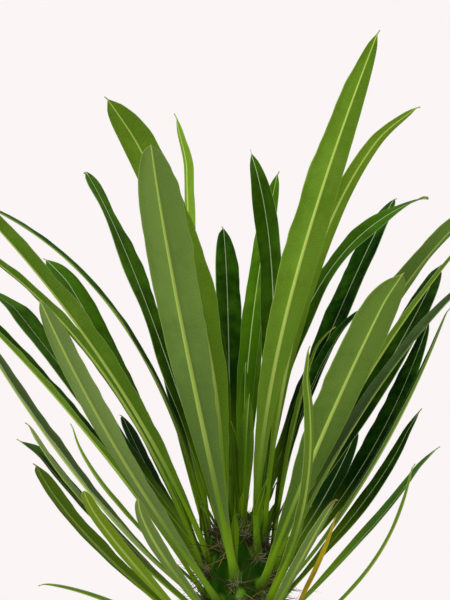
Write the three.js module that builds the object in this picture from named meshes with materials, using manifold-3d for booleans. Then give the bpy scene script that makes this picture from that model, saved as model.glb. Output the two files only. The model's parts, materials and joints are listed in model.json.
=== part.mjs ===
// Madagascar palm (Pachypodium lamerei): a spiny stem with a crown of strap leaves, in a round clay pot.
// Millimetres, +Z up. The origin is the middle of the pot's underside.
import * as THREE from 'three';
import { mergeVertices } from 'three/addons/utils/BufferGeometryUtils.js';
import Module from 'manifold-3d';

const wasm = await Module();
wasm.setup();

// ---- driving dimensions ----
const clearance = 0.3; // between touching pieces
const sides = 32; // round the pot, the soil and the stem alike

const potHeight = 150;
const potTopRadius = 80; // wall under the rim band, at the top
const potFootRadius = 57;
const potWall = 6;
const potFloor = 9;
const rimHeight = 26;
const rimProud = 4.5; // how far the rim band stands out from the wall
const edgeCut = 1.6; // chamfer on the pot's edges

const soilLevel = 134; // at the wall
const soilMound = 4; // rise of the soil from the wall to the stem
const stemDepth = 40; // length of stem in the soil

const crownShoulder = 352; // where the stem starts to round over
const stemTop = 388;
// height and radius of the stem, from its foot to the shoulder
const stemProfile = [
  [soilLevel - stemDepth, 26],
  [soilLevel, 30],
  [160, 31],
  [200, 29.5],
  [250, 25.5],
  [300, 20.5],
  [326, 18.3],
  [crownShoulder, 17.5],
];

const tubercleArea = 540; // bark for each tubercle, square millimetres
const tubercleBottom = 148;
const tubercleTop = 308;
const tubercleRadius = 7; // at its root, under the bark
const tubercleStand = 2.2;
const tubercleSink = 3;
const goldenAngle = 137.508;
const spineLength = 17;
const spineRadius = 0.85;
const spineSink = 2.5;
const spineSpread = 1.6; // between the roots of one group
const spineLooseness = 0.3;
const belowLeaf = 6; // from a leaf's foot down to its spines
const spineRoom = 3; // a spine is left out where one this many times thicker would meet a leaf

const petioleWidth = 4.6;
const petioleShare = 0.34; // of a narrow leaf's width, where that is less
const petioleDepth = 2.3; // thickness of a leaf at its foot
const marginDepth = 0.7; // thickness of the blade at its edge
const bladeDepth = 0.9; // and beside its midrib
const ribShare = 0.2; // half of the midrib's width as a share of half the blade
const cushionStand = 1.9; // how far a leaf's foot stands out from the stem
const cushionSink = 4; // how far the cushion under it goes in, both inwards and back along the leaf
const cushionFlare = 1.5; // its width in the stem, as a share of the petiole's

// ---- leaves ----
// turn, rise: degrees round the stem and height of the leaf's foot
// middle, tip: points that the midrib passes halfway along and at its end
// width: across the widest part
// roll, twist: degrees by which the blade turns about its midrib, on the way up and towards the tip
// fold: degrees that each half of the blade stands up from flat
// hook: how far the tip bends to the underside; wave: how far the edges ripple
// end: share of the length at which the blade begins to narrow; tone: fresh on young leaves,
// old on a withering one
const leaves = [
  // tall inner leaves
  { name: '01', turn: 300, rise: 371, middle: [22, -34, 489], tip: [70, -62, 642], width: 24, roll: -30,
    tone: 'fresh' },
  { name: '02', turn: 262, rise: 359, middle: [-30, -74, 495], tip: [-43, -150, 583], width: 27, end: 0.76 },
  { name: '03', turn: 240, rise: 377, middle: [-23, -33, 507], tip: [-68, -62, 610], width: 23, roll: 28,
    hook: 3, end: 0.86 },
  { name: '04', turn: 190, rise: 383, middle: [-24, 7, 499], tip: [-28, 12, 602], width: 16, roll: 62,
    hook: 6, end: 0.85, tone: 'fresh' },
  { name: '05', turn: 122, rise: 374, middle: [-53, 62, 502], tip: [-89, 128, 573], width: 19, roll: 14,
    wave: 1, end: 0.6 },
  { name: '06', turn: 146, rise: 366, middle: [-35, 60, 450], tip: [-47, 120, 480], width: 18, roll: 20 },
  { name: '07', turn: 116, rise: 380, middle: [-6, 59, 483], tip: [-9, 101, 542], width: 19, roll: 30,
    end: 0.8 },
  { name: '08', turn: 40, rise: 379, middle: [18, 28, 501], tip: [5, 46, 584], width: 16, roll: -30, wave: 1,
    end: 0.8 },
  { name: '09', turn: 85, rise: 383, middle: [6, 48, 480], tip: [22, 82, 573], width: 15, roll: -14,
    end: 0.78, tone: 'fresh' },
  { name: '10', turn: 97, rise: 372, middle: [8, 68, 470], tip: [12, 98, 540], width: 12, roll: -8,
    tone: 'fresh' },
  { name: '11', turn: 330, rise: 378, middle: [40, -10, 525], tip: [92, -34, 608], width: 16, roll: -36,
    hook: 5, tone: 'fresh' },
  { name: '12', turn: 40, rise: 371, middle: [38, 50, 497], tip: [107, 84, 558], width: 16, roll: 10,
    wave: 1, end: 0.75 },
  { name: '13', turn: 74, rise: 373, middle: [57, 66, 497], tip: [90, 114, 558], width: 22, roll: -10,
    end: 0.76 },
  // leaves on the right
  { name: '14', turn: 350, rise: 368, middle: [70, -19, 486], tip: [126, -34, 555], width: 21, roll: -25,
    fold: 22, end: 0.7 },
  { name: '15', turn: 308, rise: 354, middle: [46, -60, 446], tip: [79, -115, 524], width: 24, roll: -20,
    hook: 4, end: 0.76 },
  { name: '16', turn: 50, rise: 360, middle: [76, 70, 452], tip: [117, 125, 520], width: 20, roll: 10,
    end: 0.76 },
  { name: '17', turn: 335, rise: 361, middle: [63, -21, 458], tip: [120, -45, 540], width: 17 },
  { name: '18', turn: 12, rise: 356, middle: [70, 6, 450], tip: [127, 8, 517], width: 13, roll: 22, fold: 30,
    end: 0.7 },
  { name: '19', turn: 40, rise: 349, middle: [69, 52, 411], tip: [108, 92, 490], width: 20, roll: 4 },
  { name: '20', turn: 355, rise: 346, middle: [71, -4, 416], tip: [110, -8, 500], width: 11, roll: 5,
    fold: 25 },
  { name: '21', turn: 15, rise: 340, middle: [71, 16, 399], tip: [96, 28, 445], width: 13, roll: 25, hook: 3,
    end: 0.4 },
  { name: '22', turn: 350, rise: 331, middle: [72, -8, 385], tip: [102, -12, 428], width: 12, roll: 28,
    fold: 25, hook: 3 },
  { name: '23', turn: 338, rise: 319, middle: [68, -20, 363], tip: [89, -36, 420], width: 9 },
  { name: '24', turn: 316, rise: 343, middle: [33, -74, 413], tip: [28, -124, 486], width: 12, roll: 50,
    hook: 4 },
  { name: '25', turn: 60, rise: 343, middle: [44, 68, 384], tip: [69, 120, 426], width: 18 },
  { name: '26', turn: 18, rise: 369, middle: [31, 4, 446], tip: [47, 6, 491], width: 9, roll: -24, hook: 4,
    tone: 'fresh' },
  { name: '46', turn: 30, rise: 362, middle: [35, 19, 446], tip: [69, 30, 501], width: 16, roll: 8, fold: 25,
    hook: 2 },
  // leaves on the left
  { name: '27', turn: 172, rise: 374, middle: [-65, 5, 494], tip: [-150, 12, 558], width: 17, fold: 8,
    end: 0.7 },
  { name: '28', turn: 208, rise: 366, middle: [-72, -46, 475], tip: [-145, -95, 567], width: 22, fold: 25,
    end: 0.7 },
  { name: '29', turn: 190, rise: 360, middle: [-75, -19, 470], tip: [-148, -40, 538], width: 18, roll: 12,
    end: 0.7 },
  { name: '30', turn: 152, rise: 356, middle: [-68, 41, 464], tip: [-108, 72, 528], width: 20, twist: -20,
    hook: 5, end: 0.85 },
  { name: '31', turn: 133, rise: 357, middle: [-86, 58, 447], tip: [-142, 104, 512], width: 22, hook: 6,
    end: 0.8 },
  { name: '32', turn: 234, rise: 345, middle: [-61, -62, 426], tip: [-98, -128, 509], width: 20, twist: 25 },
  { name: '33', turn: 196, rise: 348, middle: [-82, -21, 436], tip: [-150, -42, 511], width: 19, roll: -13,
    fold: 28, end: 0.75 },
  { name: '34', turn: 178, rise: 343, middle: [-83, -2, 405], tip: [-149, -4, 504], width: 16, roll: -12,
    fold: 28, end: 0.75 },
  { name: '35', turn: 208, rise: 335, middle: [-79, -37, 397], tip: [-108, -66, 444], width: 13, roll: -4,
    end: 0.75 },
  { name: '36', turn: 168, rise: 334, middle: [-80, 12, 387], tip: [-116, 22, 431], width: 14, roll: -20,
    fold: 30, hook: 6, end: 0.92 },
  { name: '37', turn: 212, rise: 323, middle: [-74, -40, 377], tip: [-104, -72, 424], width: 17, roll: 8,
    end: 0.9 },
  { name: '38', turn: 128, rise: 344, middle: [-46, 57, 398], tip: [-67, 100, 435], width: 16, roll: 27,
    end: 0.88 },
  { name: '39', turn: 160, rise: 346, middle: [-72, 16, 400], tip: [-90, 28, 435], width: 8, roll: 40 },
  { name: '40', turn: 190, rise: 313, middle: [-64, -17, 342], tip: [-106, -30, 356], width: 13, roll: 10,
    fold: 8, end: 0.9 },
  // small front leaves
  { name: '41', turn: 244, rise: 328, middle: [-41, -68, 378], tip: [-50, -120, 411], width: 11, roll: 5,
    end: 0.5 },
  { name: '42', turn: 228, rise: 318, middle: [-62, -63, 380], tip: [-77, -112, 414], width: 10, roll: 15,
    end: 0.76 },
  { name: '43', turn: 298, rise: 324, middle: [33, -70, 379], tip: [46, -124, 411], width: 12, roll: 22 },
  { name: '44', turn: 318, rise: 316, middle: [40, -28, 364], tip: [50, -26, 394], width: 9, roll: 32,
    tone: 'old' },
  // leaves on the far side
  { name: '45', turn: 95, rise: 360, middle: [-12, 88, 440], tip: [-22, 172, 468], width: 19 },
  { name: '47', turn: 104, rise: 340, middle: [-10, 84, 396], tip: [-14, 150, 398], width: 17 },
  { name: '48', turn: 80, rise: 332, middle: [12, 78, 374], tip: [8, 140, 366], width: 16 },
  { name: '49', turn: 118, rise: 322, middle: [-18, 70, 358], tip: [-24, 116, 352], width: 14 },
  { name: '50', turn: 58, rise: 322, middle: [16, 66, 358], tip: [22, 118, 352], width: 14 },
  // young leaves at the top of the stem
  { name: '51', turn: 225, rise: 384, middle: [-10, -12, 424], tip: [-14, -20, 464], width: 10, roll: 30,
    tone: 'fresh' },
  { name: '52', turn: 280, rise: 383, middle: [3, -15, 422], tip: [5, -24, 456], width: 10, roll: -15,
    tone: 'fresh' },
  { name: '53', turn: 150, rise: 384, middle: [-9, 8, 440], tip: [-11, 14, 492], width: 11, roll: -20,
    tone: 'fresh' },
  { name: '54', turn: 25, rise: 384, middle: [12, 6, 432], tip: [17, 10, 474], width: 10, roll: 20,
    tone: 'fresh' },
  { name: '55', turn: 265, rise: 387, middle: [-2, -5, 412], tip: [-4, -8, 440], width: 8, tone: 'fresh' },
  { name: '56', turn: 70, rise: 387, middle: [2, 6, 430], tip: [3, 10, 470], width: 9, tone: 'fresh' },
];
// where along a leaf, from 0 at the foot to 1 at the tip, each change of its form begins and ends
const rollZone = [0.05, 0.5];
const twistZone = [0.55, 1];
const foldZone = [0.02, 0.3];
const widenZone = [0.03, 0.62];
const widenPower = 0.75; // under 1, the blade widens sooner
const stalkZone = [0, 0.12]; // as thick at its edges as under the midrib
const rippleZone = [0.15, 0.4];
const hookZone = [0.86, 1];
const usualEnd = 0.5;
const usualFold = 10;
const ripples = 3.5; // along a blade

const leafStep = 27; // length of leaf from one row of points to the next
const leafCrowding = 0.55; // how much closer the rows stand at both ends
const bladeColumns = [-1, -ribShare, 0, ribShare, 1]; // across the blade, as shares of half its width

const tones = { deep: 0x35602a, fresh: 0x6b9440, old: 0x8f8a35 };
const shades = { bark: 0x8b8a78, clay: 0xb26a4a, soil: 0x4a3a2e };

// ---- helpers ----
const degrees = Math.PI / 180;
const up = new THREE.Vector3(0, 0, 1);

function smooth([from, to], value) {
  return THREE.MathUtils.smoothstep(value, from, to);
}

function around(turn, radius, height) {
  return new THREE.Vector3(radius * Math.cos(turn * degrees), radius * Math.sin(turn * degrees), height);
}

// A seeded row of numbers from 0 to 1.
function dice(seed) {
  let state = seed;
  return () => {
    state = (state * 1664525 + 1013904223) % 4294967296;
    return state / 4294967296;
  };
}

function solid(geometry) {
  const bare = geometry.clone();
  bare.deleteAttribute('normal');
  bare.deleteAttribute('uv');
  const merged = mergeVertices(bare, 1e-4);
  const vertProperties = Float32Array.from(merged.attributes.position.array);
  const triVerts = Uint32Array.from(merged.index.array);
  return new wasm.Manifold(new wasm.Mesh({ numProp: 3, vertProperties, triVerts }));
}

function surface(manifold) {
  const mesh = manifold.getMesh();
  const geometry = new THREE.BufferGeometry();
  geometry.setAttribute('position', new THREE.BufferAttribute(mesh.vertProperties, 3));
  geometry.setIndex(new THREE.BufferAttribute(mesh.triVerts, 1));
  return geometry;
}

// A closed body between rows of points: each station has a row on top and an equal row under it.
// Both faces are cut into triangles alike.
function slab(stations) {
  const across = stations[0].top.length;
  const positions = [];
  for (const { top, under } of stations) for (const point of [...top, ...under]) positions.push(...point);
  const top = (i, j) => i * 2 * across + j;
  const under = (i, j) => top(i, j) + across;
  const faces = [];
  const quad = (a, b, c, d) => faces.push(a, b, c, a, c, d);
  const last = stations.length - 1;
  for (let i = 0; i < last; i++) {
    for (let j = 0; j < across - 1; j++) {
      quad(top(i, j), top(i + 1, j), top(i + 1, j + 1), top(i, j + 1));
      faces.push(under(i, j), under(i + 1, j + 1), under(i + 1, j));
      faces.push(under(i, j), under(i, j + 1), under(i + 1, j + 1));
    }
    quad(top(i, 0), under(i, 0), under(i + 1, 0), top(i + 1, 0));
    quad(top(i, across - 1), top(i + 1, across - 1), under(i + 1, across - 1), under(i, across - 1));
  }
  for (let j = 0; j < across - 1; j++) {
    quad(top(0, j), top(0, j + 1), under(0, j + 1), under(0, j));
    quad(top(last, j), under(last, j), under(last, j + 1), top(last, j + 1));
  }
  const geometry = new THREE.BufferGeometry();
  geometry.setAttribute('position', new THREE.Float32BufferAttribute(positions, 3));
  geometry.setIndex(faces);
  return geometry;
}

function lathe(outline) {
  const points = outline.map(([radius, height]) => new THREE.Vector2(radius, height));
  return new THREE.LatheGeometry(points, sides).rotateX(90 * degrees);
}

// ---- stem shape ----
function stemRadius(height) {
  if (height >= crownShoulder) {
    const climb = Math.min((height - crownShoulder) / (stemTop - crownShoulder), 1);
    return stemProfile.at(-1)[1] * Math.sqrt(1 - climb * climb);
  }
  const above = stemProfile.findIndex(([level]) => level > height);
  const [lowLevel, lowRadius] = stemProfile[above - 1];
  const [highLevel, highRadius] = stemProfile[above];
  return THREE.MathUtils.mapLinear(height, lowLevel, highLevel, lowRadius, highRadius);
}

// The direction straight out of the bark.
function stemOutward(turn, height) {
  const shoulder = stemProfile.at(-1)[1];
  const climb = Math.max(height - crownShoulder, 0) / (stemTop - crownShoulder) ** 2;
  return around(turn, stemRadius(height) / shoulder ** 2, climb).normalize();
}

// ---- leaf ----
function leafMidrib(row) {
  const foot = around(row.turn, stemRadius(row.rise), row.rise);
  foot.addScaledVector(stemOutward(row.turn, row.rise), cushionStand);
  const tip = new THREE.Vector3(...row.tip);
  const pull = new THREE.Vector3(...row.middle).multiplyScalar(2);
  pull.addScaledVector(foot, -0.5).addScaledVector(tip, -0.5);
  return new THREE.QuadraticBezierCurve3(foot, pull, tip);
}

function petioleOf(row) {
  return Math.min(petioleWidth, row.width * petioleShare);
}

function leafLength(row) {
  return leafMidrib(row).getLength();
}

function leafShape(row) {
  const { turn, roll = 0, twist = 0, fold = usualFold, hook = 0, wave = 0, end = usualEnd } = row;
  const petiole = petioleOf(row);
  const midrib = leafMidrib(row);
  const heading = midrib.v2.clone().sub(midrib.v0).setZ(0).normalize();
  const level = up.clone().cross(heading);

  return (along) => {
    const point = midrib.getPointAt(along);
    const forward = midrib.getTangentAt(along);
    const turned = roll * smooth(rollZone, along) + twist * smooth(twistZone, along);
    const side = level.clone().addScaledVector(forward, -level.dot(forward)).normalize();
    side.applyAxisAngle(forward, turned * degrees);
    const facing = forward.clone().cross(side);
    point.addScaledVector(facing, -hook * smooth(hookZone, along));

    const taper = Math.sqrt(1 - (Math.max(along - end, 0) / (1 - end)) ** 2);
    const stalk = petiole * (1 - 0.8 * along);
    const width = stalk + (row.width - petiole) * smooth(widenZone, along) ** widenPower * taper;
    const folded = fold * smooth(foldZone, along) * degrees;
    const rib = (petioleDepth - bladeDepth) * (1 - along) ** 0.7;
    const ripple = wave * smooth(rippleZone, along) * Math.sin(2 * Math.PI * ripples * along + turn);
    return { point, forward, side, facing, width, folded, rib, ripple };
  };
}

function leafSection(shape, along) {
  const { point, side, facing, width, folded, rib, ripple } = shape(along);
  const top = [];
  const under = [];
  for (const column of bladeColumns) {
    const reach = (column * width) / 2;
    const edge = Math.abs(column) === 1;
    const lift = Math.abs(reach) * Math.sin(folded) + (edge ? ripple * column : 0);
    const corner = point.clone().addScaledVector(side, reach * Math.cos(folded));
    corner.addScaledVector(facing, lift);
    const blade = (edge ? marginDepth : bladeDepth) / Math.cos(folded);
    const stalkEdge = edge ? rib * (1 - smooth(stalkZone, along)) : 0;
    const depth = blade + (column === 0 ? rib : 0) + stalkEdge;
    top.push(corner);
    under.push(corner.clone().addScaledVector(facing, -depth));
  }
  return { top, under };
}

function leafBlade(row) {
  const shape = leafShape(row);
  const steps = THREE.MathUtils.clamp(Math.round(leafLength(row) / leafStep), 5, 10);
  const stations = [];
  for (let step = 0; step <= steps; step++) {
    const even = step / steps;
    const crowded = 0.5 - 0.5 * Math.cos(Math.PI * even); // closer together towards both ends
    stations.push(leafSection(shape, THREE.MathUtils.lerp(even, crowded, leafCrowding)));
  }
  return slab(stations);
}

// The cushion that carries a leaf: it grows out of the stem and ends just short of the leaf's foot.
function leafCushion(row) {
  const { point, forward, side, facing } = leafShape(row)(0);
  const outward = around(row.turn, 1, 0);
  const inward = outward.clone().add(forward).multiplyScalar(-cushionSink);
  const ring = (centre, scale) => {
    const half = (petioleOf(row) / 2) * scale;
    const depth = petioleDepth * scale;
    const place = (across, down) =>
      centre.clone().addScaledVector(side, across).addScaledVector(facing, -down);
    return { top: [place(-half, 0), place(half, 0)], under: [place(-half, depth), place(half, depth)] };
  };
  const end = point.clone().addScaledVector(forward, -clearance);
  return slab([ring(end.clone().add(inward), cushionFlare), ring(end, 1.1)]);
}

// ---- pot and soil ----
function potBody() {
  const wallAt = (height) => THREE.MathUtils.mapLinear(height, 0, potHeight, potFootRadius, potTopRadius);
  const rimBottom = potHeight - rimHeight;
  const rimRadius = potTopRadius + rimProud;
  const outline = [
    [0, 0],
    [potFootRadius - edgeCut, 0],
    [potFootRadius, edgeCut],
    [wallAt(rimBottom - edgeCut), rimBottom - edgeCut],
    [rimRadius - edgeCut, rimBottom],
    [rimRadius - 0.5, rimBottom + edgeCut],
    [rimRadius, potHeight - edgeCut],
    [rimRadius - edgeCut, potHeight],
    [potTopRadius - potWall + edgeCut, potHeight],
    [potTopRadius - potWall, potHeight - edgeCut],
    [potFootRadius - potWall + 1, potFloor],
    [0, potFloor],
  ];
  return lathe(outline);
}

function soilBody() {
  const inner = (height) =>
    THREE.MathUtils.mapLinear(height, potFloor, potHeight - edgeCut, potFootRadius - potWall + 1,
      potTopRadius - potWall) - clearance * 1.1;
  const stemFoot = soilLevel - stemDepth;
  const holeTop = soilLevel + soilMound;
  const outline = [
    [0, potFloor + clearance],
    [inner(potFloor + clearance), potFloor + clearance],
    [inner(soilLevel), soilLevel],
    [inner(soilLevel) - 14, soilLevel + 1.5],
    [stemRadius(soilLevel) + 14, holeTop - 1],
    [stemRadius(holeTop) + clearance, holeTop],
    [stemRadius(soilLevel) + clearance, soilLevel],
    [stemRadius(stemFoot) + clearance, stemFoot - clearance],
    [0, stemFoot - clearance],
  ];
  return lathe(outline);
}

// ---- stem ----
function trunk() {
  const levels = stemProfile.map(([height]) => height);
  for (let climb = 0.25; climb < 1; climb += 0.25) {
    levels.push(crownShoulder + (stemTop - crownShoulder) * Math.sin((climb * Math.PI) / 2));
  }
  const outline = levels.map((height) => [stemRadius(height), height]);
  return lathe([[0, stemProfile[0][0]], ...outline, [0, stemTop]]);
}

function aimed(geometry, start, direction) {
  const aim = new THREE.Quaternion().setFromUnitVectors(new THREE.Vector3(0, 1, 0), direction);
  return geometry.applyQuaternion(aim).translate(...start);
}

// A low five-sided cone that stands out of the bark.
function tubercle(turn, rise) {
  const outward = around(turn, 1, 0.25).normalize();
  const height = tubercleStand + tubercleSink;
  const body = new THREE.ConeGeometry(tubercleRadius, height, 5, 1);
  const middle = around(turn, stemRadius(rise) + tubercleStand - height / 2, rise);
  return aimed(body, middle, outward);
}

function spine(start, direction, radius, length) {
  const body = new THREE.ConeGeometry(radius, length + spineSink, 3, 1);
  const middle = start.clone().addScaledVector(direction, (length - spineSink) / 2);
  return aimed(body, middle, direction);
}

// Three spines that spread from one place: two to the sides and up, one down.
const fanDirections = [[-0.85, 0.3], [0.85, 0.3], [0.1, -0.55]];

function spineFan(turn, rise, stand, roll) {
  const outward = around(turn, 1, 0);
  const sideways = around(turn + 90, 1, 0);
  const root = around(turn, stemRadius(rise) + stand, rise);
  return fanDirections.map(([across, rising]) => {
    const start = root.clone().addScaledVector(sideways, spineSpread * across);
    start.addScaledVector(up, spineSpread * rising);
    const direction = outward.clone().addScaledVector(sideways, across + spineLooseness * (roll() - 0.5));
    direction.addScaledVector(up, rising + spineLooseness * (roll() - 0.5)).normalize();
    return { start, direction, length: spineLength * (0.8 + 0.4 * roll()) };
  });
}

function stemBody(leafSolids) {
  const roll = dice(7);
  const bodies = leaves.map((row) => solid(leafCushion(row)));
  const fans = [];
  let turn = 20;
  let rise = tubercleBottom;
  while (rise < tubercleTop) {
    bodies.push(solid(tubercle(turn, rise)));
    fans.push(...spineFan(turn, rise, tubercleStand, roll));
    turn += goldenAngle;
    rise += tubercleArea / (2 * Math.PI * stemRadius(rise));
  }
  for (const row of leaves) fans.push(...spineFan(row.turn, row.rise - belowLeaf, 0, roll));
  for (const { start, direction, length } of fans) {
    const guard = solid(spine(start, direction, spineRadius * spineRoom, length + 1));
    if (leafSolids.some((leaf) => touches(guard, leaf))) continue;
    bodies.push(solid(spine(start, direction, spineRadius, length)));
  }
  return bodies.reduce((whole, body) => whole.add(body), solid(trunk()));
}

function touches(one, other) {
  const a = one.boundingBox();
  const b = other.boundingBox();
  const apart = [0, 1, 2].some((axis) => a.max[axis] < b.min[axis] || b.max[axis] < a.min[axis]);
  return !apart && one.intersect(other).volume() > 0;
}

// ---- the whole plant ----
const group = new THREE.Group();

function addPiece(name, geometry, color, roughness) {
  const mesh = new THREE.Mesh(geometry, new THREE.MeshStandardMaterial({ color, roughness, metalness: 0 }));
  mesh.name = name;
  group.add(mesh);
}

addPiece('pot', potBody(), shades.clay, 0.85);
addPiece('soil', soilBody(), shades.soil, 0.95);
const blades = leaves.map((row) => leafBlade(row));
addPiece('stem', surface(stemBody(blades.map(solid))), shades.bark, 0.8);
leaves.forEach((row, index) => {
  addPiece(`leaf_${row.name}`, blades[index], tones[row.tone ?? 'deep'], 0.45);
});

export default group;
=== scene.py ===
import json
import math
import random

import bmesh
import bpy
from mathutils import Matrix, Vector, bvhtree, kdtree, noise

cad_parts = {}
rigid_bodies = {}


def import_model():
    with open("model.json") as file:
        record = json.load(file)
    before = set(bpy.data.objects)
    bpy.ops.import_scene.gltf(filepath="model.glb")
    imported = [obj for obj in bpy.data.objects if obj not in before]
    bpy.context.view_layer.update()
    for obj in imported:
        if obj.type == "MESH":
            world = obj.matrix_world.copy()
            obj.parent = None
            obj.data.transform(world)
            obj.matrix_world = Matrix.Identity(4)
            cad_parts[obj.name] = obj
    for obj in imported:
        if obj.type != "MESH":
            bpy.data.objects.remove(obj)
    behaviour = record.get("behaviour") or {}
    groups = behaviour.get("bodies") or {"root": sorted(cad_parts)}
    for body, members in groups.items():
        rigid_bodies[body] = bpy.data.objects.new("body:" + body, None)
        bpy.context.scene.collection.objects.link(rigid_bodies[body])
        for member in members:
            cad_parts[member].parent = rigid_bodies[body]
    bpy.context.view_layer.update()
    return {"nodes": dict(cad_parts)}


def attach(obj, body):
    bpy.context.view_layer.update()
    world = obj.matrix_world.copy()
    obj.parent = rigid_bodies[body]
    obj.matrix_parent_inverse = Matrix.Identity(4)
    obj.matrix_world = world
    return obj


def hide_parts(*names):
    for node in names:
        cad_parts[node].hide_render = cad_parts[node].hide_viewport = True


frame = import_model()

# Madagascar palm in a round clay pot. The plant is worked out in millimetres and its meshes are
# brought to metres at the end. The crown faces -Y.
mm = 0.001
up = Vector((0, 0, 1))


def smooth(zone, value):
    share = min(max((value - zone[0]) / (zone[1] - zone[0]), 0), 1)
    return share * share * (3 - 2 * share)


def blend(low, high, share):
    return low + (high - low) * share


def around(turn, radius, height):
    angle = math.radians(turn)
    return Vector((radius * math.cos(angle), radius * math.sin(angle), height))


# a seeded turn about an axis
def anySpin(rule):
    return rule.uniform(0, 6.28)


def treeOf(points):
    tree = kdtree.KDTree(len(points))
    for i, point in enumerate(points):
        tree.insert(point, i)
    tree.balance()
    return tree


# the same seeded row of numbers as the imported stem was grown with
def dice(seed):
    state = seed
    while True:
        state = (state * 1664525 + 1013904223) % 4294967296
        yield state / 4294967296


# A value on its way through a material's nodes: + - and * on it add Math nodes.
class Wire:
    def __init__(self, finish, socket):
        self.finish = finish
        self.socket = socket

    def math(self, operation, first, second):
        return self.finish.node("ShaderNodeMath", {"operation": operation}, {0: first, 1: second})

    def __add__(self, other):
        return self.math("ADD", self, other)

    def __radd__(self, other):
        return self.math("ADD", other, self)

    def __sub__(self, other):
        return self.math("SUBTRACT", self, other)

    def __rsub__(self, other):
        return self.math("SUBTRACT", other, self)

    def __mul__(self, other):
        return self.math("MULTIPLY", self, other)

    def size(self):
        return self.math("ABSOLUTE", self, 0)

    def larger(self, other):
        return self.math("MAXIMUM", self, other)

    def smaller(self, other):
        return self.math("MINIMUM", self, other)

    def pingPong(self, length):
        return self.math("PINGPONG", self, length)

    # another output of the same node
    def other(self, name):
        return Wire(self.finish, self.socket.node.outputs[name])


# the nodes of a new material, or of a new world
class Finish:
    def __init__(self, name, kind="materials"):
        self.owner = getattr(bpy.data, kind).new(name)
        self.owner.use_nodes = True
        self.tree = self.owner.node_tree
        self.tree.nodes.clear()

    # any node: its settings first, then the values or wires of its sockets
    def node(self, kind, settings=None, sockets=None, output=0):
        made = self.tree.nodes.new(kind)
        for key, value in (settings or {}).items():
            setattr(made, key, value)
        for key, value in (sockets or {}).items():
            if isinstance(value, Wire):
                self.tree.links.new(value.socket, made.inputs[key])
            else:
                made.inputs[key].default_value = value
        return Wire(self, made.outputs[output]) if made.outputs else made

    def place(self):
        return self.node("ShaderNodeTexCoord", output="Object")

    def stretched(self, place, scale):
        return self.node("ShaderNodeMapping", {}, {"Vector": place, "Scale": scale})

    # a piece's own numbers at each point, as one wire and as three
    def marks(self, name):
        found = self.node("ShaderNodeAttribute", {"attribute_name": name}, output="Vector")
        parts = self.node("ShaderNodeSeparateXYZ", {}, {"Vector": found})
        return found, parts, parts.other("Y"), parts.other("Z")

    def cloud(self, place, scale, detail=3, roughness=0.55):
        sockets = {"Vector": place, "Scale": scale, "Detail": detail, "Roughness": roughness}
        return self.node("ShaderNodeTexNoise", {}, sockets)

    def cells(self, place, scale, feature="F1"):
        sockets = {"Vector": place, "Scale": scale}
        return self.node("ShaderNodeTexVoronoi", {"feature": feature}, sockets, output="Distance")

    # 0 below low, 1 above high, with an easy slope between them
    def step(self, value, low, high):
        sockets = {"Value": value, "From Min": low, "From Max": high}
        return self.node("ShaderNodeMapRange", {"interpolation_type": "SMOOTHSTEP"}, sockets)

    def mix(self, first, second, share):
        sockets = {0: share, 6: self.paint(first), 7: self.paint(second)}
        return self.node("ShaderNodeMix", {"data_type": "RGBA"}, sockets, output=2)

    # paints laid over each other, each as thick as its mask says
    def coats(self, colour, *layers):
        for paint, mask in layers:
            colour = self.mix(colour, paint, mask)
        return colour

    def paint(self, colour):
        return colour if isinstance(colour, Wire) else (*colour, 1)

    def bump(self, height, distance, strength):
        sockets = {"Height": height, "Distance": distance, "Strength": strength}
        return self.node("ShaderNodeBump", {}, sockets)

    # the shader: gloss is how much a surface mirrors straight on, 0.5 for most things
    def shader(self, colour, roughness, normal=None, gloss=0.3):
        sockets = {"Base Color": self.paint(colour), "Roughness": roughness, "Specular IOR Level": gloss}
        if normal is not None:
            sockets["Normal"] = normal
        return self.node("ShaderNodeBsdfPrincipled", {}, sockets)

    def done(self, shader, output="ShaderNodeOutputMaterial"):
        self.node(output, {}, {"Surface": shader})
        return self.owner


def meshFrom(bm, name):
    mesh = bpy.data.meshes.new(name)
    bm.to_mesh(mesh)
    bm.free()
    return mesh


def placed(name, data):
    made = bpy.data.objects.new(name, data)
    bpy.context.scene.collection.objects.link(made)
    return made


# makes a mesh in millimetres a piece of the plant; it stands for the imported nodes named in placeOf
def addMesh(name, bm, finish, slot, placeOf, flat=False):
    bmesh.ops.scale(bm, verts=bm.verts[:], vec=(mm, mm, mm))
    for face in bm.faces:
        face.smooth = not flat
    mesh = meshFrom(bm, name)
    mesh.materials.append(finish)
    piece = placed(name, mesh)
    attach(piece, "root")
    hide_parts(*placeOf)


# the same for a shape whose faces don't all point outwards yet
def addPiece(name, bm, finish, slot, placeOf):
    bmesh.ops.recalc_face_normals(bm, faces=bm.faces[:])
    addMesh(name, bm, finish, slot, placeOf)


# a closed turned shape from the radius and height of each corner of its outline; each stretch of the
# outline can first be cut into shorter ones
def lathe(outline, sides, cuts=()):
    bm = bmesh.new()
    line = [bm.verts.new((radius, 0, level)) for radius, level in outline]
    edges = [bm.edges.new(pair) for pair in zip(line, line[1:])]
    for edge, count in zip(edges, cuts):
        if count:
            bmesh.ops.subdivide_edges(bm, edges=[edge], cuts=count)
    bmesh.ops.spin(bm, geom=bm.verts[:] + bm.edges[:], cent=(0, 0, 0), axis=(0, 0, 1), angle=2 * math.pi,
                   steps=sides, use_merge=True)
    bmesh.ops.remove_doubles(bm, verts=bm.verts[:], dist=0.001)
    return bm


# an empty mesh with room in a layer for three numbers at each point
def growing(layer):
    bm = bmesh.new()
    bm.verts.layers.float_vector.new(layer)
    return bm


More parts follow.
